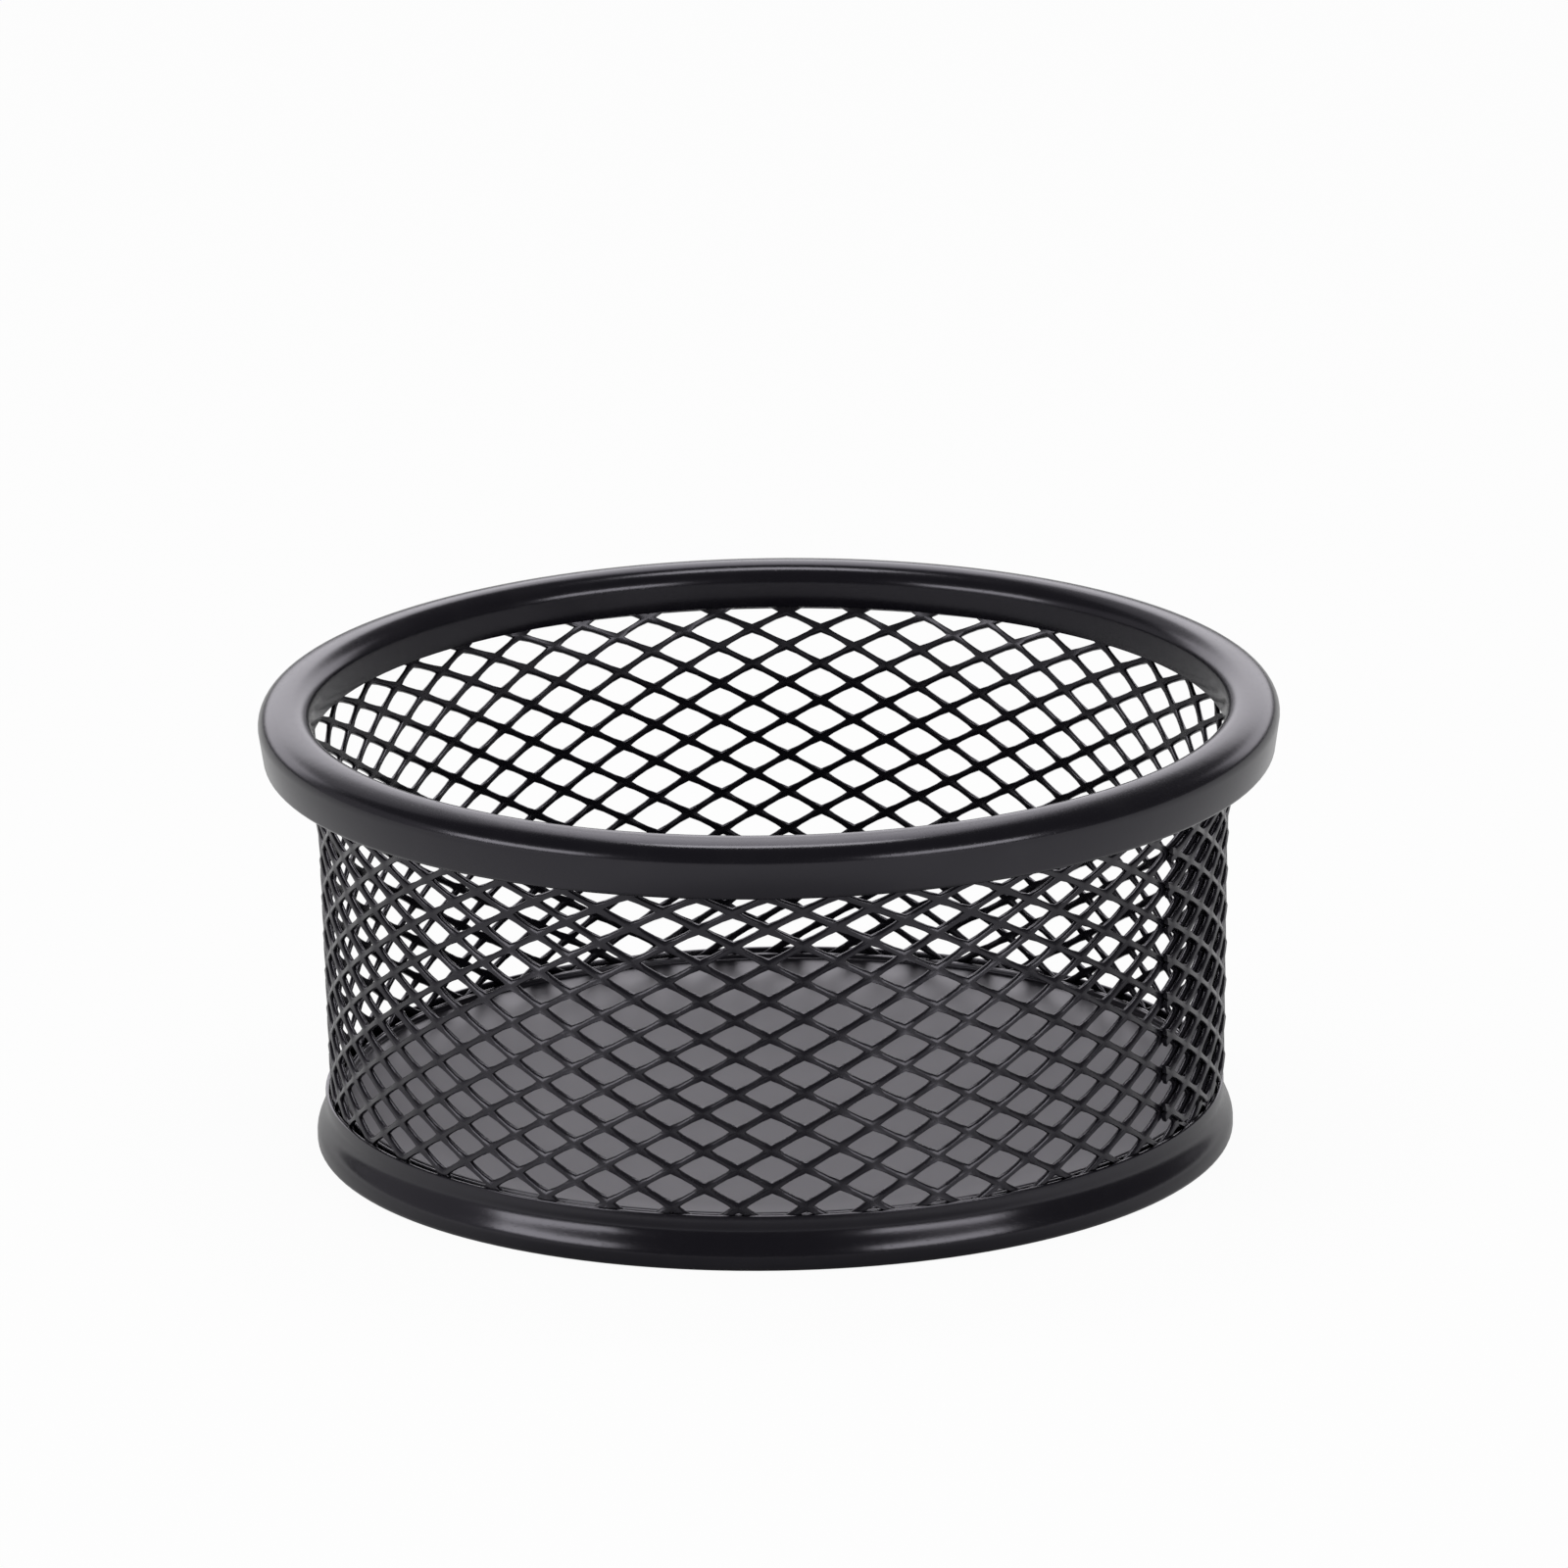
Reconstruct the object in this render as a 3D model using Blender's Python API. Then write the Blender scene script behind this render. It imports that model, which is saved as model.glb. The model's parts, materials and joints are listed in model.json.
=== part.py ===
"""A low round desk cup of black steel mesh, for paper clips and other small things.

Four pieces: a rolled top rim, a wall of expanded steel mesh, a pressed floor plate and a flared base
ring. Metres, +Z up. The cup stands on z = 0 about the Z axis, and its photographed front faces -Y.
"""
import math

import bmesh
import bpy

MM = 0.001

# Sheet metal and the clearance that neighbouring pieces keep
SHEET = 0.42 * MM
CLEARANCE = 0.3 * MM
SEGMENTS = 36

# Top rim: a broad shallow crown between two tighter bends
CUP_HEIGHT = 41.1 * MM
RIM_RADIUS = 46.0 * MM
CROWN_ROUND = 6.0 * MM
SHOULDER_ROUND = 1.7 * MM
LIP_ROUND = 1.7 * MM
SHOULDER_START = 73
SKIRT_START = -7
LIP_START = 92
LIP_FOOT_HEIGHT = 37.2 * MM
SKIRT_FOOT_RADIUS = 45.58 * MM
SKIRT_FOOT_HEIGHT = 35.93 * MM
HEM_RADIUS = 0.46 * MM
HEM_HEIGHT = 1.4 * MM

# Mesh wall: expanded steel, diamonds wider than they are high. A column is half a diamond wide
COLUMN_STEP = math.radians(4.33)
LAST_COLUMN = 89
STRAND_LENGTH = 3.502 * MM
STRAND_THICKNESS = 0.5 * MM
KNOT_HALF_WIDTH = 0.66 * MM
KNOT_HALF_HEIGHT = 0.35 * MM
FIRST_ROW_HEIGHT = 5.3 * MM
WALL_FOOT_RADIUS = 39.85 * MM
WALL_TAPER = 0.025
FLARE_HEIGHT = 26.0 * MM
FLARE_REACH = 1550.0  # radius gained per cubed metre above that height
WALL_LOW = 4.0 * MM
WALL_HIGH = 37.5 * MM

# The strip is rolled a little crooked: rows climb by one in a turn and lean towards the front right
TURN_COLUMNS = 83
FRONT_COLUMN = 69
CROOKED = 0.47 * MM
CROOKED_TOWARDS = math.radians(-50)

# Lap seam of the wall, right of the front
SEAM_ANGLE = math.radians(-29.3)
LIFTED_COLUMNS = 9
RAMP_COLUMNS = 3
LIFTED_LOW = 6.4 * MM

# Floor plate
FLOOR_HEIGHT = 4.2 * MM
FLANGE_HEIGHT = 1.1 * MM
FLANGE_BEND = 0.6 * MM

# Base ring
RING_RADIUS = 41.35 * MM
RING_HEIGHT = 5.65 * MM
COLLAR_FOOT = 4.3 * MM
FOOT_ROUND = 0.6 * MM
FOOT_FLAT = 0.6 * MM
FOOT_HEM_HEIGHT = 1.5 * MM
FLARE_STEPS = 3

# Satin black paint
PAINT_COLOUR = (0.016, 0.0155, 0.018, 1.0)
PAINT_ROUGHNESS = 0.36

# Corners of a knot on each side of the strand that leaves along each diagonal
DIAGONALS = {
    (1, 1): ("north", "east"),
    (-1, 1): ("north", "west"),
    (1, -1): ("south", "east"),
    (-1, -1): ("south", "west"),
}


def clear_scene():
    """Start from an empty scene."""
    for item in list(bpy.data.objects):
        bpy.data.objects.remove(item, do_unlink=True)


def paint(name):
    """Black painted steel, one material for each piece."""
    material = bpy.data.materials.new(name)
    material.use_nodes = True
    shader = material.node_tree.nodes["Principled BSDF"]
    shader.inputs["Base Color"].default_value = PAINT_COLOUR
    shader.inputs["Roughness"].default_value = PAINT_ROUGHNESS
    shader.inputs["Metallic"].default_value = 0.0
    material.diffuse_color = PAINT_COLOUR
    return material


def add_piece(name, bm, parent):
    """Turn a finished bmesh into a named, painted object."""
    bmesh.ops.recalc_face_normals(bm, faces=bm.faces)
    mesh = bpy.data.meshes.new(name)
    bm.to_mesh(mesh)
    bm.free()
    mesh.materials.append(paint(name + "_paint"))
    piece = bpy.data.objects.new(name, mesh)
    bpy.context.collection.objects.link(piece)
    piece.parent = parent
    return piece


def arc(centre, radius, start, end, steps):
    """Points of an arc in the (radius, height) half-plane, angles in degrees from outwards."""
    points = []
    for step in range(steps + 1):
        turn = math.radians(start + (end - start) * step / steps)
        points.append((centre[0] + radius * math.cos(turn), centre[1] + radius * math.sin(turn)))
    return points


def revolve(name, outline, closed, parent):
    """Spin an outline of (radius, height) points about the cup's axis."""
    bm = bmesh.new()
    verts = [bm.verts.new((radius, 0.0, height)) for radius, height in outline]
    ends = verts[1:] + verts[:1] if closed else verts[1:]
    edges = [bm.edges.new(pair) for pair in zip(verts, ends)]
    bmesh.ops.spin(bm, geom=verts + edges, cent=(0, 0, 0), axis=(0, 0, 1),
                   angle=math.tau, steps=SEGMENTS, use_merge=True)
    bmesh.ops.remove_doubles(bm, verts=bm.verts, dist=0.001 * MM)
    return add_piece(name, bm, parent)


def rim_outline():
    """Rolled channel: inner lip, broad crown, leaning skirt and a hem turned up inside the skirt."""
    # The bends touch the crown's arc where they start, so their centres lie on its spokes
    reach = CROWN_ROUND - SHOULDER_ROUND
    crown = (RIM_RADIUS - SHOULDER_ROUND - reach * math.cos(math.radians(SHOULDER_START)),
             CUP_HEIGHT - CROWN_ROUND)
    shoulder = arc(crown, reach, SHOULDER_START, SHOULDER_START, 1)[0]
    lip = arc(crown, CROWN_ROUND - LIP_ROUND, LIP_START, LIP_START, 1)[0]
    hem = (SKIRT_FOOT_RADIUS - HEM_RADIUS, SKIRT_FOOT_HEIGHT + HEM_RADIUS)
    hem_top = SKIRT_FOOT_HEIGHT + HEM_HEIGHT
    skirt_inside = SKIRT_FOOT_RADIUS - SHEET - HEM_HEIGHT * math.tan(math.radians(SKIRT_START))

    outline = [(lip[0] - LIP_ROUND, LIP_FOOT_HEIGHT)]
    outline += arc(lip, LIP_ROUND, 180, LIP_START, 3)
    outline += arc(crown, CROWN_ROUND, LIP_START, SHOULDER_START, 1)[1:]
    outline += arc(shoulder, SHOULDER_ROUND, SHOULDER_START, SKIRT_START, 3)[1:]
    outline += arc(hem, HEM_RADIUS, 0, -180, 2)
    outline += [(hem[0] - HEM_RADIUS, hem_top), (skirt_inside, hem_top)]
    outline += arc(shoulder, SHOULDER_ROUND - SHEET, SKIRT_START, SHOULDER_START, 1)
    outline += arc(lip, LIP_ROUND - SHEET, LIP_START, 180, 1)
    outline += [(lip[0] - LIP_ROUND + SHEET, LIP_FOOT_HEIGHT)]
    return outline


def wall_radius(height):
    """Outer radius of the mesh wall: a slight taper that flares under the rim."""
    above = max(height - FLARE_HEIGHT, 0.0)
    return WALL_FOOT_RADIUS + WALL_TAPER * (height - FIRST_ROW_HEIGHT) + FLARE_REACH * above ** 3


def wall_lean(height):
    """Angle between the wall and the vertical."""
    above = max(height - FLARE_HEIGHT, 0.0)
    return math.atan(WALL_TAPER + 3 * FLARE_REACH * above ** 2)


def row_heights():
    """Heights of the rows of knots. Strands keep their length, so rows close up in the flare."""
    heights = [FIRST_ROW_HEIGHT]
    while heights[-1] < WALL_HIGH + STRAND_LENGTH:
        height = heights[-1]
        rise = math.sqrt(STRAND_LENGTH ** 2 - (COLUMN_STEP * wall_radius(height)) ** 2)
        heights.append(height + rise * math.cos(wall_lean(height)))
    return heights


def knot_height(heights, column, row):
    """Height of a knot on the crooked strip, between the two rows that its climb brings it to."""
    climbed = row + (column - FRONT_COLUMN) / TURN_COLUMNS
    below = min(max(math.floor(climbed), 0), len(heights) - 2)
    level = heights[below] + (climbed - below) * (heights[below + 1] - heights[below])
    return level + CROOKED * math.cos(SEAM_ANGLE + COLUMN_STEP * column - CROOKED_TOWARDS)


def lap_lift(column):
    """How far a column of knots stands off, so that the strip's start lies over its end."""
    ramp = (LIFTED_COLUMNS - column) / RAMP_COLUMNS
    return (STRAND_THICKNESS + CLEARANCE) * min(max(ramp, 0.0), 1.0)


def add_knot(bm, column, height):
    """Four corners on the inner face and a ridge point on the outer face."""
    angle = SEAM_ANGLE + COLUMN_STEP * column
    lean = wall_lean(height)
    ridge_radius = wall_radius(height) + lap_lift(column)
    corners = {
        "west": (-KNOT_HALF_WIDTH, 0.0, STRAND_THICKNESS),
        "north": (0.0, KNOT_HALF_HEIGHT, STRAND_THICKNESS),
        "east": (KNOT_HALF_WIDTH, 0.0, STRAND_THICKNESS),
        "south": (0.0, -KNOT_HALF_HEIGHT, STRAND_THICKNESS),
        "ridge": (0.0, 0.0, 0.0),
    }
    knot = {}
    for corner, (along, up, depth) in corners.items():
        radius = ridge_radius + up * math.sin(lean) - depth * math.cos(lean)
        turn = angle + along / radius
        lift = height + up * math.cos(lean) + depth * math.sin(lean)
        knot[corner] = bm.verts.new((radius * math.cos(turn), radius * math.sin(turn), lift))
    return knot


def add_strand(bm, knot, neighbour, step):
    """A three-sided strand between a knot and its neighbour up one diagonal."""
    near_a, near_b = DIAGONALS[step]
    far_b, far_a = DIAGONALS[(-step[0], -step[1])]
    bm.faces.new((knot[near_a], neighbour[far_a], neighbour["ridge"], knot["ridge"]))
    bm.faces.new((knot[near_b], neighbour[far_b], neighbour["ridge"], knot["ridge"]))
    bm.faces.new((knot[near_a], neighbour[far_a], neighbour[far_b], knot[near_b]))


def mesh_wall(parent):
    """Expanded steel strip, rolled round and lapped on itself."""
    bm = bmesh.new()
    knots = {}
    heights = row_heights()
    for column in range(LAST_COLUMN + 1):
        # The lifted start is cut off lower down, so that only one layer enters the base ring
        lowest = LIFTED_LOW if column < LIFTED_COLUMNS else WALL_LOW
        for row in range(-2, len(heights)):
            height = knot_height(heights, column, row)
            if (column + row) % 2 == 0 and lowest <= height <= WALL_HIGH:
                knots[column, row] = add_knot(bm, column, height)
    for (column, row), knot in knots.items():
        bm.faces.new([knot[corner] for corner in ("west", "north", "east", "south")])
        for step, (side_a, side_b) in DIAGONALS.items():
            neighbour = knots.get((column + step[0], row + step[1]))
            if neighbour is None:
                bm.faces.new((knot[side_a], knot["ridge"], knot[side_b]))
            elif step[1] > 0:
                add_strand(bm, knot, neighbour, step)
    return add_piece("mesh_wall", bm, parent)


def plate_outline():
    """Floor disc and its turned-up flange, from the axis out along the top and back underneath."""
    flange_outside = WALL_FOOT_RADIUS - STRAND_THICKNESS - CLEARANCE - CLEARANCE / 3
    flange_inside = flange_outside - SHEET
    flange_top = FLOOR_HEIGHT + FLANGE_HEIGHT
    bend = (flange_inside - FLANGE_BEND, FLOOR_HEIGHT + FLANGE_BEND)
    outline = [(0.0, FLOOR_HEIGHT)]
    outline += arc(bend, FLANGE_BEND, -90, 0, 2)
    outline += [(flange_inside, flange_top), (flange_outside, flange_top)]
    outline += arc(bend, FLANGE_BEND + SHEET, 0, -90, 2)
    outline += [(0.0, FLOOR_HEIGHT - SHEET)]
    return outline


def ring_outline():
    """Straight collar and flared skirt, with the edge rolled under to a flat foot and turned up inside."""
    # A facet's middle lies closer to the axis than its corners, so the corners stand further out
    ring_inside = (WALL_FOOT_RADIUS + CLEARANCE) / math.cos(math.pi / SEGMENTS)
    top_radius = ring_inside + SHEET
    hem_radius = RING_RADIUS - 2 * FOOT_ROUND - FOOT_FLAT
    skirt = [(top_radius, RING_HEIGHT)]
    for step in range(FLARE_STEPS + 1):
        share = step / FLARE_STEPS
        ease = (1 - math.cos(math.pi * share)) / 2
        radius = top_radius + (RING_RADIUS - top_radius) * ease
        skirt.append((radius, COLLAR_FOOT + (FOOT_ROUND - COLLAR_FOOT) * share))
    outer_foot = (RING_RADIUS - FOOT_ROUND, FOOT_ROUND)
    inner_foot = (hem_radius + FOOT_ROUND, FOOT_ROUND)
    outline = skirt[:-1]
    outline += arc(outer_foot, FOOT_ROUND, 0, -90, 2)
    outline += arc(inner_foot, FOOT_ROUND, -90, -180, 1)
    outline += [(hem_radius, FOOT_HEM_HEIGHT), (RING_RADIUS - 2 * SHEET, FOOT_HEM_HEIGHT)]
    outline += [(radius - SHEET, height) for radius, height in reversed(skirt[:-1])]
    return outline


def main():
    clear_scene()
    cup = bpy.data.objects.new("mesh_cup", None)
    bpy.context.collection.objects.link(cup)
    revolve("top_rim", rim_outline(), True, cup)
    mesh_wall(cup)
    revolve("base_plate", plate_outline(), False, cup)
    revolve("base_ring", ring_outline(), True, cup)


main()
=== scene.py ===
# %% [markdown]
# A low round desk cup for paper clips, made of black painted steel. A strip of expanded mesh is rolled
# into a wall, a channel of sheet steel is rolled over its top edge, and a flared ring holds its foot
# together with a pressed floor pan. The construction model is loaded first and never changed. It gives
# the sizes, and each piece below is modelled again with the detail that the eye looks for.

# %% Load the construction model
import json
import math

import bmesh
import bpy
from mathutils import Matrix, Vector

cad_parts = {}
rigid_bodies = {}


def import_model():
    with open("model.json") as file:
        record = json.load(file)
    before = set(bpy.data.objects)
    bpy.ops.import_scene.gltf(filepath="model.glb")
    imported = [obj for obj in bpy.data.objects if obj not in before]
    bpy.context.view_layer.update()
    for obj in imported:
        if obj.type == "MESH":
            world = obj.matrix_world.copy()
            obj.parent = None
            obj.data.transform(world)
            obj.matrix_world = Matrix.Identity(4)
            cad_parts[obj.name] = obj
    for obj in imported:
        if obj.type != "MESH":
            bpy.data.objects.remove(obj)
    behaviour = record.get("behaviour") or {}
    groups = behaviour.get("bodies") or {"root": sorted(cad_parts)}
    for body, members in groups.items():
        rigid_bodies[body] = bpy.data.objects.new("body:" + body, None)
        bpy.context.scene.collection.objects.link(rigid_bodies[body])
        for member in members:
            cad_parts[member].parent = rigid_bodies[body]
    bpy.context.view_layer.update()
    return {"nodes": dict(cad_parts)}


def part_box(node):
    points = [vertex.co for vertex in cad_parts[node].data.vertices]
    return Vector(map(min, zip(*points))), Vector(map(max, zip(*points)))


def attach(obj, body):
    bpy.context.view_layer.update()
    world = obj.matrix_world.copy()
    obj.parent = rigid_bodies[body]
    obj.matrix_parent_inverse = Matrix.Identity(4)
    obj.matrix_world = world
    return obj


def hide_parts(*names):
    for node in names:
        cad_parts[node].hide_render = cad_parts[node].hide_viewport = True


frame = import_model()
bpy.context.scene.view_settings.view_transform = "Standard"
MM = 0.001


def in_mm(lengths):
    """Lengths in rounded millimetres, for printing."""
    return [round(length / MM, 2) for length in lengths]


for node in sorted(frame["nodes"]):
    low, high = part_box(node)
    print(node, "from", in_mm(low), "to", in_mm(high))

# %% [markdown]
# The rim, the ring and the floor are all turned shapes: a bend of sheet metal that runs round the cup.
# A Screw modifier would spin a drawn line, but a circle that is extruded and scaled ring by ring is the
# way most people do it by hand, and every ring can still be picked up later. An arc helper gives the
# bends their true radius, because a press tool leaves arcs and not free curves. Solidify then gives the
# skin the thickness of the metal, and Bevel breaks its cut edges.

# %% Helpers for bends and turned shapes
FACETS = 144
SHEET, BROKEN_EDGE = 0.42 * MM, 0.12 * MM
BREAK_ABOVE, SMOOTH_BELOW = math.radians(60), math.radians(40)


def spoke_end(centre, radius, degrees):
    """The end of a spoke in the half-plane of radius and height, in degrees up from outwards."""
    turn = math.radians(degrees)
    return centre[0] + radius * math.cos(turn), centre[1] + radius * math.sin(turn)


def bend(centre, radius, start, end, steps):
    """Points on an arc from one spoke to another."""
    return [spoke_end(centre, radius, start + (end - start) * step / steps) for step in range(steps + 1)]


def turn_sheet(name, profile):
    """A circle at the profile's first point, extruded and scaled to each of its next points."""
    bpy.ops.object.select_all(action="DESELECT")
    bpy.ops.mesh.primitive_circle_add(vertices=FACETS, radius=profile[0][0], location=(0, 0, profile[0][1]))
    sheet = bpy.context.object
    sheet.name = sheet.data.name = name
    bpy.ops.object.transform_apply(location=True, rotation=False, scale=False)
    bpy.ops.object.mode_set(mode="EDIT")
    bpy.ops.mesh.select_all(action="SELECT")
    for (radius, height), (next_radius, next_height) in zip(profile, profile[1:]):
        bpy.ops.mesh.extrude_region_move(TRANSFORM_OT_translate={"value": (0, 0, next_height - height)})
        scale = next_radius / radius
        bpy.ops.transform.resize(value=(scale, scale, 1))
    bpy.ops.object.mode_set(mode="OBJECT")
    return sheet


def apply_modifier(piece, kind, **settings):
    """Add a modifier, set it up and apply it."""
    modifier = piece.modifiers.new(kind.title(), kind)
    for setting, value in settings.items():
        setattr(modifier, setting, value)
    bpy.ops.object.modifier_apply(modifier=modifier.name)


def thicken_sheet(piece):
    """Face the skin outwards, give it the metal's thickness inwards and break its cut edges."""
    bpy.ops.object.mode_set(mode="EDIT")
    bpy.ops.mesh.select_all(action="SELECT")
    bpy.ops.mesh.normals_make_consistent(inside=False)
    bpy.ops.object.mode_set(mode="OBJECT")
    apply_modifier(piece, "SOLIDIFY", thickness=SHEET, offset=-1, use_even_offset=True)
    apply_modifier(piece, "BEVEL", width=BROKEN_EDGE, segments=2, limit_method="ANGLE",
                   angle_limit=BREAK_ABOVE)
    bpy.ops.object.shade_smooth_by_angle(angle=SMOOTH_BELOW)
    print(piece.name, "has", len(piece.data.polygons), "faces")


print("turned pieces have", FACETS, "facets, in sheet of", round(SHEET / MM, 2), "mm")

# %% [markdown]
# The top rim is a channel of sheet steel, open downwards, that hides the cut edge of the mesh. Its top is
# broad and almost flat, and then drops over a tight shoulder into a skirt that leans in. That shoulder
# draws the thin bright line that runs round the front of the real cup. Each tight bend shares a spoke
# with the broad one where they meet, so the surface has no crease.

# %% The top rim
CROWN, SHOULDER, LIP, HEM = 6.0 * MM, 1.7 * MM, 1.7 * MM, 0.46 * MM
SHOULDER_TURN, SKIRT_TURN, LIP_TURN = 73, -7, 92
LIP_DEPTH, LIP_MIDDLE = 2.2 * MM, 1.0 * MM
SKIRT_LEAN, HEM_LEAF = 0.42 * MM, 1.4 * MM
low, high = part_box("top_rim")
rim_radius, cup_height, skirt_foot = high[0], high[2], low[2]
shoulder_spoke = CROWN - SHOULDER
crown_middle = rim_radius - SHOULDER - shoulder_spoke * math.cos(math.radians(SHOULDER_TURN))
crown_centre = (crown_middle, cup_height - CROWN)
shoulder_centre = spoke_end(crown_centre, shoulder_spoke, SHOULDER_TURN)
lip_centre = spoke_end(crown_centre, CROWN - LIP, LIP_TURN)
hem_centre = (rim_radius - SKIRT_LEAN - HEM, skirt_foot + HEM)

rim_profile = [(lip_centre[0] - LIP, lip_centre[1] - depth) for depth in (LIP_DEPTH, LIP_MIDDLE)]
rim_profile += bend(lip_centre, LIP, 180, LIP_TURN, 8)
rim_profile += bend(crown_centre, CROWN, LIP_TURN, SHOULDER_TURN, 8)[1:]
rim_profile += bend(shoulder_centre, SHOULDER, SHOULDER_TURN, SKIRT_TURN, 10)[1:]
rim_profile += bend(hem_centre, HEM, SKIRT_TURN, -180, 8)
rim_profile += [(hem_centre[0] - HEM, skirt_foot + HEM_LEAF)]

rim = turn_sheet("rolled_rim", rim_profile)
thicken_sheet(rim)

# %% [markdown]
# The base ring is pressed from the same sheet. Its collar hugs the mesh, a little lower than in the
# construction model. Below it the ring swings out in an S and rolls under at the foot, and a leaf of it
# stands up inside, close round the floor, so that no sharp edge meets the desk and no light comes through.
# The S matters: a lamp is mirrored where the slope fits, above and below the steepest part, and those are
# the two pale bands low on the cup.

# %% The base ring
COLLAR_DROP, COLLAR_INSET = 0.65 * MM, 0.8 * MM
FLARE_TOP, FLARE_FOOT, FLARE_STEPS = 3.9 * MM, 1.1 * MM, 12
FOOT, LEAF_GAP, LEAF_MIDDLE, LEAF_TOP = 0.6 * MM, 0.01 * MM, 2.5 * MM, 4.8 * MM
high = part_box("base_ring")[1]
ring_radius, ring_height = high[0], high[2] - COLLAR_DROP
collar_radius = ring_radius - COLLAR_INSET
leaf_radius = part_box("base_plate")[1][0] + LEAF_GAP

ring_profile = [(collar_radius, ring_height)]
for step in range(FLARE_STEPS + 1):
    share = step / FLARE_STEPS
    swing = (1 - math.cos(math.pi * share)) / 2
    ring_profile.append((collar_radius + COLLAR_INSET * swing, FLARE_TOP + (FLARE_FOOT - FLARE_TOP) * share))
ring_profile += bend((ring_radius - FOOT, FOOT), FOOT, 0, -90, 6)
ring_profile += bend((leaf_radius + FOOT, FOOT), FOOT, -90, -180, 6)
ring_profile += [(leaf_radius, LEAF_MIDDLE), (leaf_radius, LEAF_TOP)]

ring = turn_sheet("foot_ring", ring_profile)
thicken_sheet(ring)

# %% [markdown]
# The floor is a shallow pressed pan. Its low flange stands up beside the ring's leaf, and the pressing
# leaves a rounded corner. It is turned from the flange inwards, and the last small ring is filled with one
# face, because a flat disc needs no more. Seen through the mesh it is the grey field behind the strands.

# %% The floor pan
FLANGE_DROP, FLOOR_LIFT, CORNER = 0.45 * MM, 0.25 * MM, 0.6 * MM
FLOOR_RINGS = (0.9, 0.7, 0.4, 0.15)
low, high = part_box("base_plate")
flange_radius, flange_top, underside = high[0], high[2] - FLANGE_DROP, low[2] + FLOOR_LIFT

pan_profile = [(flange_radius, flange_top)]
pan_profile += bend((flange_radius - CORNER, underside + CORNER), CORNER, 0, -90, 6)
pan_profile += [(flange_radius * share, underside) for share in FLOOR_RINGS]

pan = turn_sheet("floor_pan", pan_profile)
bpy.ops.object.mode_set(mode="EDIT")
bpy.ops.mesh.edge_face_add()
bpy.ops.object.mode_set(mode="OBJECT")
thicken_sheet(pan)

# %% [markdown]
# Expanded mesh is not woven. A sheet is slit in staggered rows and pulled open, so every strand is part of
# the same piece of steel and each crossing is a short solid bond. One opening with half a strand round it
# is therefore the whole pattern. It is modelled flat, as a diamond whose border is inset, and only its
# outer half is made, because a mirror gives the other face of the sheet. Slitting leaves the strands a
# little twisted, so the edge of the opening is tilted at the end.

# %% One diamond of the mesh
PITCH, RISE = 6.0 * MM, 3.46 * MM
MESH_THICKNESS, HALF_STRAND, EDGE = 0.45 * MM, 0.22 * MM, 0.08 * MM
CORNER_SMOOTHING, OPENING_TILT = 0.35, math.radians(-4)
INSIDE_BORDER = 0.49  # the diamond's border itself lies at 0.5
WELD = 0.001 * MM

bpy.ops.object.select_all(action="DESELECT")
bpy.ops.mesh.primitive_circle_add(vertices=4, radius=PITCH / 2, location=(PITCH / 2, 0, MESH_THICKNESS / 2))
wall = bpy.context.object
wall.name = wall.data.name = "wall_mesh"
bpy.ops.object.transform_apply(location=True, rotation=False, scale=False)
bpy.ops.object.mode_set(mode="EDIT")
bpy.ops.mesh.select_all(action="SELECT")
bpy.ops.transform.resize(value=(1, RISE / PITCH, 1))
bpy.ops.mesh.subdivide(number_cuts=2)
bpy.ops.mesh.edge_face_add()
bpy.ops.mesh.inset(thickness=HALF_STRAND, depth=0)
bpy.ops.mesh.vertices_smooth(factor=CORNER_SMOOTHING)
bpy.ops.mesh.inset(thickness=EDGE, depth=0)
bpy.ops.transform.translate(value=(0, 0, -EDGE))
bpy.ops.mesh.extrude_region_move(TRANSFORM_OT_translate={"value": (0, 0, EDGE - MESH_THICKNESS / 2)})
bpy.ops.mesh.delete(type="ONLY_FACE")
bpy.ops.object.mode_set(mode="OBJECT")
apply_modifier(wall, "MIRROR", use_axis=(False, False, True), merge_threshold=WELD)

bpy.ops.object.mode_set(mode="EDIT")
tile = bmesh.from_edit_mesh(wall.data)
for vertex in tile.verts:
    from_middle = abs(vertex.co.x - PITCH / 2) / PITCH + abs(vertex.co.y) / RISE
    vertex.select_set(from_middle < INSIDE_BORDER)
tile.select_flush_mode()
bmesh.update_edit_mesh(wall.data)
bpy.ops.transform.rotate(value=OPENING_TILT, orient_axis="X", center_override=(PITCH / 2, 0, 0))
bpy.ops.object.mode_set(mode="OBJECT")
print("one diamond has", len(wall.data.polygons), "faces and is", in_mm(wall.dimensions), "mm")

# %% [markdown]
# The slits are staggered, so a second diamond sits half a pitch along and half a rise up. That pair then
# repeats in both directions with two Array modifiers, and Merge joins the halves of the strands. The flat
# strip is longer than the way round, because its ends lap: 83 half diamonds make one turn of the cup, and
# the strip has 89. It starts a little too long and too high, since it is cut to size afterwards.

# %% The flat strip
TURN_COLUMNS, LAST_COLUMN, ROWS = 83, 89, 22
column_width, row_rise = PITCH / 2, RISE / 2
bpy.ops.object.mode_set(mode="EDIT")
bpy.ops.mesh.select_all(action="SELECT")
bpy.ops.mesh.duplicate_move(TRANSFORM_OT_translate={"value": (-column_width, row_rise, 0)})
bpy.ops.mesh.select_all(action="SELECT")
bpy.ops.transform.translate(value=(-PITCH, -RISE, 0))
bpy.ops.object.mode_set(mode="OBJECT")
for count, step in ((LAST_COLUMN // 2 + 3, (PITCH, 0, 0)), (ROWS // 2 + 1, (0, RISE, 0))):
    apply_modifier(wall, "ARRAY", count=count, use_relative_offset=False, use_constant_offset=True,
                   constant_offset_displace=step)
bpy.ops.object.mode_set(mode="EDIT")
bpy.ops.mesh.select_all(action="SELECT")
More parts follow.
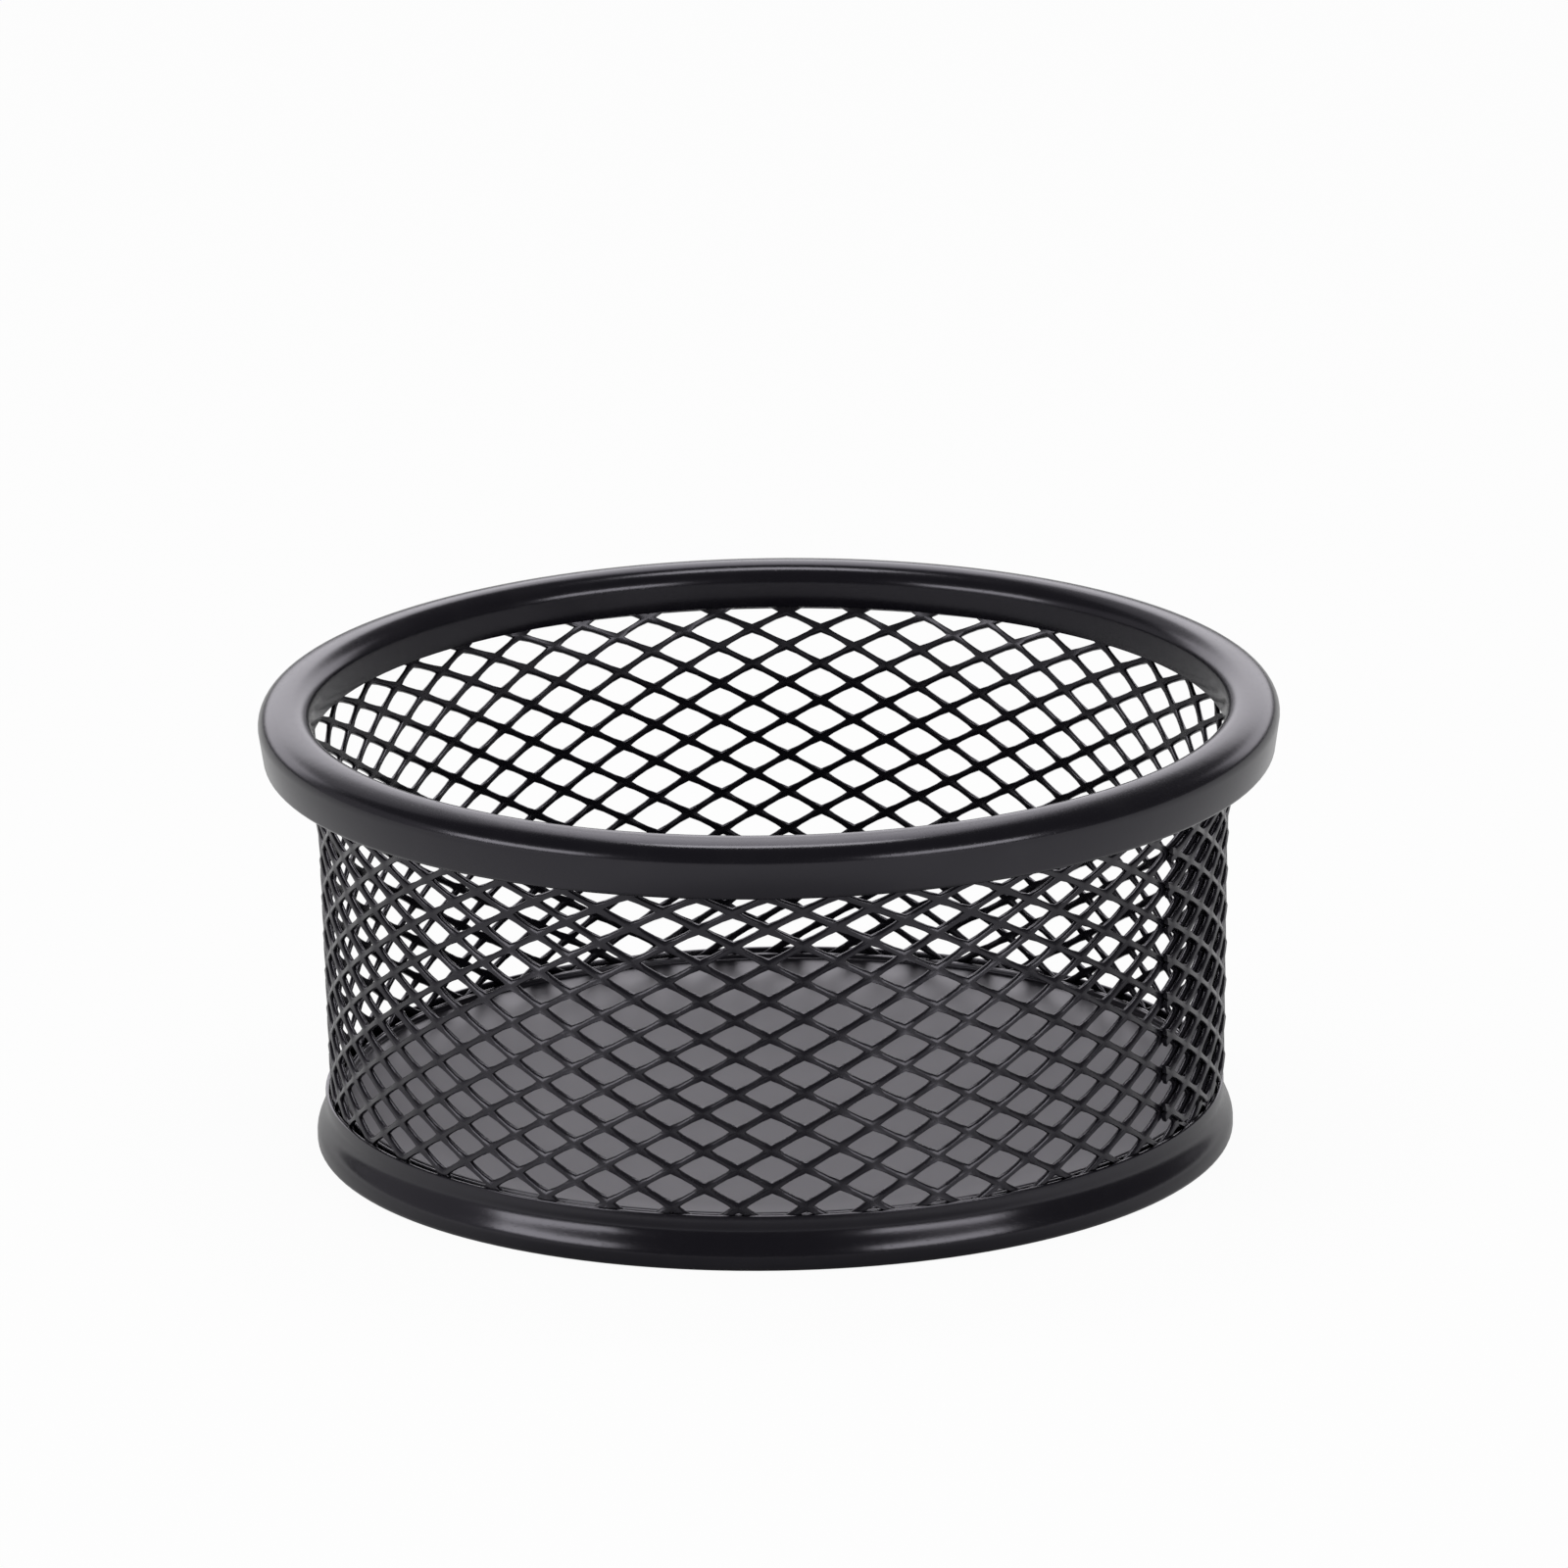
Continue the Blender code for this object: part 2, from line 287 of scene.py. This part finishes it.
bpy.ops.mesh.remove_doubles(threshold=5 * WELD)
bpy.ops.object.mode_set(mode="OBJECT")
print("the uncut strip has", len(wall.data.polygons), "faces and is", in_mm(wall.dimensions), "mm")

# %% [markdown]
# Shears cut a strip of mesh straight through its strands, and so does the Bisect tool. It leaves open
# stubs, which Fill Holes caps. Both ends are cut a short way past a column of bonds. The end that will lie
# outside in the lap stops a row higher, clear of the ring. Bisect would spoil the strands beside that end,
# so the end is split off first, cut by itself and merged back.

# %% Cutting the strip
STUB, LIFT_END, LIFTED_FOOT = 0.3, 9, 0.97
TOUCHING = 1e-4 * MM
CAP_SIDES = 40


def split_off(belongs):
    """Select the faces whose centres belong to a part, and part them from their neighbours."""
    bpy.ops.mesh.select_all(action="DESELECT")
    mesh = bmesh.from_edit_mesh(wall.data)
    for face in mesh.faces:
        if belongs(face.calc_center_median()):
            face.select_set(True)
    bmesh.update_edit_mesh(wall.data)
    bpy.ops.mesh.split()


def shear(place, outwards, belongs=None):
    """Cut the mesh, or a part of it that is split off, and drop what lies outwards of the cut."""
    bpy.ops.mesh.select_all(action="SELECT")
    if belongs:
        split_off(belongs)
    bpy.ops.mesh.bisect(plane_co=place, plane_no=outwards, clear_outer=True, threshold=TOUCHING)


def close_cuts():
    """Cap the small open ends that the cuts leave."""
    bpy.ops.mesh.select_all(action="SELECT")
    bpy.ops.mesh.fill_holes(sides=CAP_SIDES)


lift_end = (LIFT_END + STUB) * column_width
bpy.ops.object.mode_set(mode="EDIT")
shear((-STUB * column_width, 0, 0), (-1, 0, 0))
shear(((LAST_COLUMN + STUB) * column_width, 0, 0), (1, 0, 0))
bpy.ops.mesh.select_all(action="SELECT")
bpy.ops.mesh.bisect(plane_co=(lift_end, 0, 0), plane_no=(1, 0, 0), threshold=TOUCHING)
shear((0, LIFTED_FOOT * row_rise, 0), (0, -1, 0), lambda centre: centre.x < lift_end)
bpy.ops.mesh.select_all(action="SELECT")
bpy.ops.mesh.remove_doubles(threshold=TOUCHING)
close_cuts()
bpy.ops.object.mode_set(mode="OBJECT")
print("the flat strip has", len(wall.data.polygons), "faces and is", in_mm(wall.dimensions), "mm")

# %% [markdown]
# Rolling the strip is a sum, not a tool: a Simple Deform bend gives a cylinder, but this wall leans out a
# little and then flares under the rim. When mesh flares, its strands keep their length, so each diamond gets
# wider and lower and the rows close up. The rows are laid out with that rule.

# %% Where the rows of bonds lie
STRAND_LENGTH, COLUMN_STEP = 3.502 * MM, math.radians(4.33)
FIRST_ROW, WALL_FOOT, TAPER = 5.30 * MM, 39.85 * MM, 0.025
FLARE_START, FLARE_RATE = 26.0 * MM, 1550.0  # the rate is per square metre


def wall_radius(height):
    """The wall's radius: a straight lean, and a cubic flare under the rim."""
    return WALL_FOOT + TAPER * (height - FIRST_ROW) + FLARE_RATE * max(height - FLARE_START, 0) ** 3


def wall_lean(height):
    """How far the wall leans out, as an angle."""
    return math.atan(TAPER + 3 * FLARE_RATE * max(height - FLARE_START, 0) ** 2)


def next_row(height):
    """The height of the next row of bonds, one strand's length up and along the wall."""
    half_pitch = COLUMN_STEP * wall_radius(height)
    return height + math.sqrt(STRAND_LENGTH ** 2 - half_pitch ** 2) * math.cos(wall_lean(height))


row_heights = [FIRST_ROW]
while len(row_heights) < ROWS + 1:
    row_heights.append(next_row(row_heights[-1]))
print("rows of bonds at", in_mm(row_heights), "mm")

# %% [markdown]
# Every vertex of the flat strip has a column, a row and a depth, and these give its turn, its height and
# its distance from the wall's middle. The ends are lapped in step, and with an odd number of half diamonds
# in a turn they only fit one row apart, so the rows climb like a screw thread. The roll also stands a
# little crooked, higher at the front right, and its first columns are lifted over the last ones. Rim and
# ring hide the two long edges, so they are trimmed level at the end. That leaves crumbs which hang on
# nothing. Only what hangs together with the middle is kept, and the new stubs are capped.

# %% Rolling the strip into the wall
SEAM, FRONT_COLUMN = math.radians(-29.3), 69
CROOKED, CROOKED_TOWARDS = 0.47 * MM, math.radians(-50)
LAP_GAP, LIFT_COLUMNS = 0.1 * MM, 3
TRIM_FOOT, TRIM_TOP, MIDDLE = 4.4 * MM, 37.4 * MM, 20 * MM
STRAND_SMOOTH_BELOW = math.radians(50)


def drop_crumbs():
    """Keep what hangs together with the middle of the wall, and delete the rest."""
    bpy.ops.mesh.select_all(action="DESELECT")
    mesh = bmesh.from_edit_mesh(wall.data)
    min(mesh.verts, key=lambda vertex: abs(vertex.co.z - MIDDLE)).select_set(True)
    bmesh.update_edit_mesh(wall.data)
    bpy.ops.mesh.select_linked()
    bpy.ops.mesh.select_all(action="INVERT")
    bpy.ops.mesh.delete(type="VERT")


for vertex in wall.data.vertices:
    column, row = vertex.co.x / column_width, vertex.co.y / row_rise
    turn = SEAM + COLUMN_STEP * column
    climbed = row + (column - FRONT_COLUMN) / TURN_COLUMNS
    below = min(max(math.floor(climbed), 0), ROWS - 1)
    height = row_heights[below] + (climbed - below) * (row_heights[below + 1] - row_heights[below])
    height += CROOKED * math.cos(turn - CROOKED_TOWARDS)
    lean = wall_lean(height)
    lift = (MESH_THICKNESS + LAP_GAP) * min(max((LIFT_END - column) / LIFT_COLUMNS, 0), 1)
    depth = vertex.co.z + lift
    radius = wall_radius(height) + depth * math.cos(lean)
    vertex.co = radius * math.cos(turn), radius * math.sin(turn), height - depth * math.sin(lean)

bpy.ops.object.mode_set(mode="EDIT")
shear((0, 0, TRIM_FOOT), (0, 0, -1))
shear((0, 0, TRIM_TOP), (0, 0, 1))
drop_crumbs()
close_cuts()
bpy.ops.mesh.normals_make_consistent(inside=False)
bpy.ops.object.mode_set(mode="OBJECT")
bpy.ops.object.shade_smooth_by_angle(angle=STRAND_SMOOTH_BELOW)
print("the wall has", len(wall.data.polygons), "faces and is", in_mm(wall.dimensions), "mm")

# %% [markdown]
# The paint needs several textures that are mixed, scaled and added, and node trees soon get hard to read. A
# small class round a socket lets Python write them as sums. Every operator adds one Math node, and one
# method adds any other kind of node.

# %% Shader sums


class Value:
    """A socket of a node tree, on which Python's operators add Math nodes."""

    def __init__(self, tree, socket):
        self.tree, self.socket = tree, socket

    def add(self, kind, settings, sockets, output=0):
        """Add any node: its settings first, then the values or links of its sockets."""
        node = self.tree.nodes.new(kind)
        for name, setting in settings.items():
            setattr(node, name, setting)
        for name, value in sockets.items():
            if isinstance(value, Value):
                self.tree.links.new(value.socket, node.inputs[name])
            else:
                node.inputs[name].default_value = value
        return Value(self.tree, node.outputs[output])

    def math(self, operation, *values):
        return self.add("ShaderNodeMath", {"operation": operation}, dict(enumerate(values)))

    def __add__(self, other):
        return self.math("ADD", self, other)

    def __radd__(self, other):
        return self.math("ADD", other, self)

    def __sub__(self, other):
        return self.math("SUBTRACT", self, other)

    def __rsub__(self, other):
        return self.math("SUBTRACT", other, self)

    def __mul__(self, other):
        return self.math("MULTIPLY", self, other)

    def __rmul__(self, other):
        return self.math("MULTIPLY", other, self)

    def __truediv__(self, other):
        return self.math("DIVIDE", self, other)

    def __rtruediv__(self, other):
        return self.math("DIVIDE", other, self)

    def ramp(self, start, end):
        """Nought at start, one at end, and smooth in between."""
        return self.add("ShaderNodeMapRange", {"interpolation_type": "SMOOTHSTEP"},
                        {"Value": self, "From Min": start, "From Max": end})

    def noise(self, size, detail):
        """Cloudy noise whose patches are about this size."""
        return self.add("ShaderNodeTexNoise", {}, {"Vector": self, "Scale": 1 / size, "Detail": detail})

    def mix_colour(self, first, second):
        return self.add("ShaderNodeMix", {"data_type": "RGBA"}, {0: self, 6: first, 7: second}, output=2)


print("Value can", ", ".join(name for name in vars(Value) if not name.startswith("__")))

# %% [markdown]
# The finish is a satin black enamel, sprayed and baked. Up close it has a fine orange peel, tiny specks and
# slow changes of gloss from one stroke of the gun to the next, and a thin film of dust that greys it. The
# pressed sheets also carry faint waves from the tools, which break up the bright bands on the ring. A
# painted picture would need every piece unwrapped, so the patterns sit on Object coordinates instead. Those
# are in metres, so each pattern is given by its real size. Noise averages a half, so the gloss is written to
# swing about the roughness that a piece is given.

# %% Satin black enamel
PEEL_SIZE, PEEL_HEIGHT = 0.9 * MM, 0.004 * MM
SPECK_SIZE, SPECK_HEIGHT, SPECK_DULLING = 0.25 * MM, 0.002 * MM, 0.05
STROKE_SIZE, STROKE_SWING = 14 * MM, 0.08
DUST_SIZE, WAVE_SIZE = 5 * MM, 9 * MM
CLEAN_PAINT, DUSTY_PAINT = (0.0042, 0.0038, 0.0058, 1), (0.0065, 0.006, 0.008, 1)
SHEEN_TINT, SOLID_VIEW_COLOUR = (0.93, 0.9, 1.0, 1), (0.01, 0.01, 0.011, 1)
ENAMEL_IOR = 1.52


def satin_enamel(name, roughness, grain, waves):
    """Black enamel. Grain is a share of its orange peel and specks, waves the height of the sheet's waves."""
    material = bpy.data.materials.new(name)
    material.use_nodes = True
    tree = material.node_tree
    shader = tree.nodes["Principled BSDF"]
    place = Value(tree, tree.nodes.new("ShaderNodeTexCoord").outputs["Object"])
    peel = place.noise(PEEL_SIZE, 2)
    strokes = place.noise(STROKE_SIZE, 2)
    specks = place.noise(SPECK_SIZE, 1).ramp(0.62, 0.75)
    dust = place.noise(DUST_SIZE, 4).ramp(0.45, 0.75)
    paint = dust.mix_colour(CLEAN_PAINT, DUSTY_PAINT)
    gloss = roughness - STROKE_SWING / 2 + STROKE_SWING * strokes + SPECK_DULLING * grain * specks
    bumps = grain * (PEEL_HEIGHT * peel + SPECK_HEIGHT * specks) + waves * place.noise(WAVE_SIZE, 1)
    normal = place.add("ShaderNodeBump", {}, {"Height": bumps, "Distance": 1.0, "Strength": 1.0})
    tree.links.new(paint.socket, shader.inputs["Base Color"])
    tree.links.new(gloss.socket, shader.inputs["Roughness"])
    tree.links.new(normal.socket, shader.inputs["Normal"])
    shader.inputs["IOR"].default_value = ENAMEL_IOR
    shader.inputs["Specular Tint"].default_value = SHEEN_TINT
    material.diffuse_color = SOLID_VIEW_COLOUR
    return material


for piece, finish, roughness, grain, waves in (
    (rim, "rim_enamel", 0.19, 1.0, 0.006 * MM),
    (wall, "mesh_enamel", 0.26, 1.0, 0.0),
    (pan, "floor_enamel", 0.3, 0.1, 0.008 * MM),
    (ring, "ring_enamel", 0.18, 1.0, 0.02 * MM),
):
    piece.data.materials.clear()
    piece.data.materials.append(satin_enamel(finish, roughness, grain, waves))
    print(piece.name, "is finished in", finish)

# %% [markdown]
# The cup stands on a white table in front of a white sheet, with a dim room behind the camera. Black enamel
# shows little but what it mirrors, so that matters more than the lamps: the sheet makes the pale top of the
# rim and the grey floor, and the dim room keeps the front black. The camera sees the table as white, with a
# small share of real shading left in it so that the shadow stays. Mirrored in the enamel it is mostly a lit
# matt surface, with a painted shadow of the cup just in front of it: a greyer patch that only reflections
# see, which darkens the foot of the ring.

# %% The table
# The greyer patch in front of the cup is a painted shadow of the cup, seen only in reflections.
TABLE_RADIUS, TABLE_GREY, PAINTED_SHADOW_GREY = 4, (0.85, 0.85, 0.85, 1), (0.45, 0.45, 0.45, 1)
PAINTED_SHADOW_MIDDLE, PAINTED_SHADOW_EDGE, PAINTED_SHADOW_CORE = (0, -0.06, 0), 0.055, 0.025
SEEN_WHITE, MIRRORED_WHITE = 0.95, 0.15


def arriving_rays(tree):
    """Masks for rays from the camera, from a mirroring surface and through a clear one."""
    rays = tree.nodes.new("ShaderNodeLightPath")
    kinds = ("Is Camera Ray", "Is Glossy Ray", "Is Transmission Ray")
    return [Value(tree, rays.outputs[kind]) for kind in kinds]


bpy.ops.object.select_all(action="DESELECT")
bpy.ops.mesh.primitive_circle_add(vertices=96, radius=TABLE_RADIUS, fill_type="NGON")
table = bpy.context.object
table.name = table.data.name = "white_table"
table_paint = bpy.data.materials.new("white_table")
table_paint.use_nodes = True
tree = table_paint.node_tree
camera_ray, glossy_ray, clear_ray = arriving_rays(tree)
place = camera_ray.add("ShaderNodeTexCoord", {}, {}, output="Object")
# Painted shadow: near the cup, reflections see the table in a darker grey and with less white glow.
from_painted_shadow = place.add("ShaderNodeVectorMath", {"operation": "DISTANCE"}, {0: place, 1: PAINTED_SHADOW_MIDDLE},
                       output="Value")
painted_shadow = from_painted_shadow.ramp(PAINTED_SHADOW_EDGE, PAINTED_SHADOW_CORE)
glow = camera_ray.add("ShaderNodeEmission", {}, {"Color": (1, 1, 1, 1), "Strength": 1.0})
lit = camera_ray.add("ShaderNodeBsdfDiffuse", {}, {"Color": TABLE_GREY})
painted_shadow_matt = camera_ray.add("ShaderNodeBsdfDiffuse", {}, {"Color": PAINTED_SHADOW_GREY})
matt = camera_ray.add("ShaderNodeMixShader", {}, {0: glossy_ray * painted_shadow, 1: lit, 2: painted_shadow_matt})
white_share = SEEN_WHITE * (camera_ray + clear_ray) + MIRRORED_WHITE * glossy_ray * (1 - painted_shadow)
blend = camera_ray.add("ShaderNodeMixShader", {}, {0: white_share, 1: matt, 2: glow})
tree.links.new(blend.socket, tree.nodes["Material Output"].inputs["Surface"])
tree.nodes.remove(tree.nodes["Principled BSDF"])
table.data.materials.append(table_paint)
print("the table is", table.dimensions.x, "m across")

# %% [markdown]
# The world stands for the sheet and the room. The camera and clear things see plain white. Reflections see
# a broad white sheet low behind the cup, a narrow bright panel above it, a weak haze beside the panel on
# the left, a pale wall at the far left and a dim room elsewhere. A picture of a studio could be wrapped
# round instead, but each of these is a product of ramps on the parts of the direction, and a ramp can be
# moved until its reflection lies right. Everything else gets an even light, as under a large tent, so that
# colours come out as they are written.

# %% The studio around the cup
EVEN_LIGHT, DIM_ROOM, SHEET_GLOW, PANEL_GLOW, HAZE_GLOW, WALL_GLOW = 0.6, 0.12, 1.7, 2.0, 0.4, 0.28
SHEET_SIDES, SHEET_FOOT, SHEET_TOP = (0.5, 0.75), (0.04, 0.16), (0.5, 0.34)
PANEL_SIDES, PANEL_FOOT, PANEL_TOP, PANEL_BACK = (0.24, 0.1), (0.4, 0.5), (0.92, 0.86), (0.2, 0.35)
HAZE_SIDE, HAZE_FOOT, HAZE_TOP, WALL_SIDE = (0, -0.15), (0.3, 0.4), (0.85, 0.7), (-0.75, -0.92)
MIRRORED_TINT = (0.97, 0.945, 1, 1)
world = bpy.data.worlds.new("studio")
bpy.context.scene.world = world
world.use_nodes = True
tree = world.node_tree
camera_ray, glossy_ray, clear_ray = arriving_rays(tree)
direction = camera_ray.add("ShaderNodeTexCoord", {}, {}, output="Generated")
sideways, backwards, upwards = (
    direction.add("ShaderNodeSeparateXYZ", {}, {0: direction}, output=axis) for axis in "XYZ")
level = direction.math("SQRT", sideways * sideways + backwards * backwards)
behind = (backwards / level).ramp(*SHEET_SIDES)
slant = direction.math("ABSOLUTE", sideways / upwards)
white_sheet = behind * upwards.ramp(*SHEET_TOP) * upwards.ramp(*SHEET_FOOT)
panel_height = upwards.ramp(*PANEL_FOOT) * upwards.ramp(*PANEL_TOP)
panel = slant.ramp(*PANEL_SIDES) * panel_height * backwards.ramp(*PANEL_BACK)
haze = sideways.ramp(*HAZE_SIDE) * behind * upwards.ramp(*HAZE_FOOT) * upwards.ramp(*HAZE_TOP)
side_wall = sideways.ramp(*WALL_SIDE) * upwards.ramp(*SHEET_TOP)
room = DIM_ROOM + SHEET_GLOW * white_sheet + PANEL_GLOW * panel + HAZE_GLOW * haze + WALL_GLOW * side_wall
plain = (camera_ray + clear_ray).ramp(0, 1)
strength = plain + (1 - plain) * (glossy_ray * room + (1 - glossy_ray) * EVEN_LIGHT)
tint = glossy_ray.mix_colour((1, 1, 1, 1), MIRRORED_TINT)
tree.links.new(strength.socket, tree.nodes["Background"].inputs["Strength"])
tree.links.new(tint.socket, tree.nodes["Background"].inputs["Color"])
world.cycles.sampling_method = "NONE"
print("the studio is a tree of", len(tree.nodes), "nodes")

# %% [markdown]
# Two soft boxes stand left and right of the camera, a little above the table. In the photograph they show
# as the short streaks on the rim's shoulder and the bands on the ring, and a streak's place tells where its
# lamp is, since a mirror doubles the angle of the surface. A third box, close above and very small, draws
# the fine line along the lip at the back. A lamp is written by its glow, because a mirror shows that and
# not its power.

# %% Three soft boxes
LAMP_TARGET = Vector((0, 0, 20 * MM))
for name, bearing, elevation, distance, width, height, glow in (
    ("soft_box_left", -57, 14, 0.85, 0.5, 0.2, 5.0),
    ("soft_box_right", 41, 14, 0.85, 0.5, 0.2, 5.0),
    ("soft_box_above", 180, 82, 0.2, 0.08, 0.05, 6.0),
):
    turn, rise = math.radians(bearing), math.radians(elevation)
    aim = Vector((math.sin(turn) * math.cos(rise), -math.cos(turn) * math.cos(rise), math.sin(rise)))
    bpy.ops.object.light_add(type="AREA", location=aim * distance + LAMP_TARGET)
    lamp = bpy.context.object
    lamp.name = lamp.data.name = name
    lamp.rotation_euler = aim.to_track_quat("Z", "Y").to_euler()
    lamp.data.shape = "RECTANGLE"
    lamp.data.size, lamp.data.size_y = width, height
    lamp.data.energy = glow * math.pi * width * height
    lamp.visible_camera = False
    print(name, "at", [round(value, 2) for value in lamp.location], "with", round(lamp.data.energy, 2), "W")

# %% [markdown]
# The photograph was taken with a long lens from far off: the back of the rim is only a little smaller than
# the front. The camera was fitted to the outlines of the rim and the ring, which are circles: how high it
# stands, how far off it is, its slight roll, how wide a picture it takes, and where the cup sits in it.

# %% The camera
ELEVATION, ROLL = math.radians(17.18), math.radians(0.90)
DISTANCE, PICTURE_WIDTH, SENSOR = 2.6, 141.36 * MM, 36
SIGHT_HEIGHT, SIGHT_RIGHT, SIGHT_UP = 21 * MM, 1.274 * MM, 11.335 * MM
cup_middle = Vector((0, 0, SIGHT_HEIGHT))
towards_camera = Vector((0, -math.cos(ELEVATION), math.sin(ELEVATION)))
picture_up = towards_camera.cross(Vector((1, 0, 0)))
bpy.ops.object.camera_add(location=cup_middle + DISTANCE * towards_camera)
camera = bpy.context.object
camera.name = camera.data.name = "photo_camera"
aim = cup_middle + Vector((SIGHT_RIGHT, 0, 0)) + SIGHT_UP * picture_up
away = (camera.location - aim).normalized()
to_the_right = Vector((0, 0, 1)).cross(away).normalized()
upright = Matrix((to_the_right, away.cross(to_the_right), away)).transposed()
camera.rotation_euler = (Matrix.Rotation(-ROLL, 3, away) @ upright).to_euler()
camera.data.sensor_width = SENSOR
camera.data.lens = SENSOR * DISTANCE / PICTURE_WIDTH
camera.data.clip_end = 20
bpy.context.scene.camera = camera
print("a lens of", round(camera.data.lens), "mm at", [round(value, 3) for value in camera.location])

# %% [markdown]
# Last, each piece is tied to the one body of the cup and takes the place of its construction node.

# %% Hand over the pieces
for piece, node in ((rim, "top_rim"), (wall, "mesh_wall"), (pan, "base_plate"), (ring, "base_ring")):
    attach(piece, "root")
    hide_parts(node)
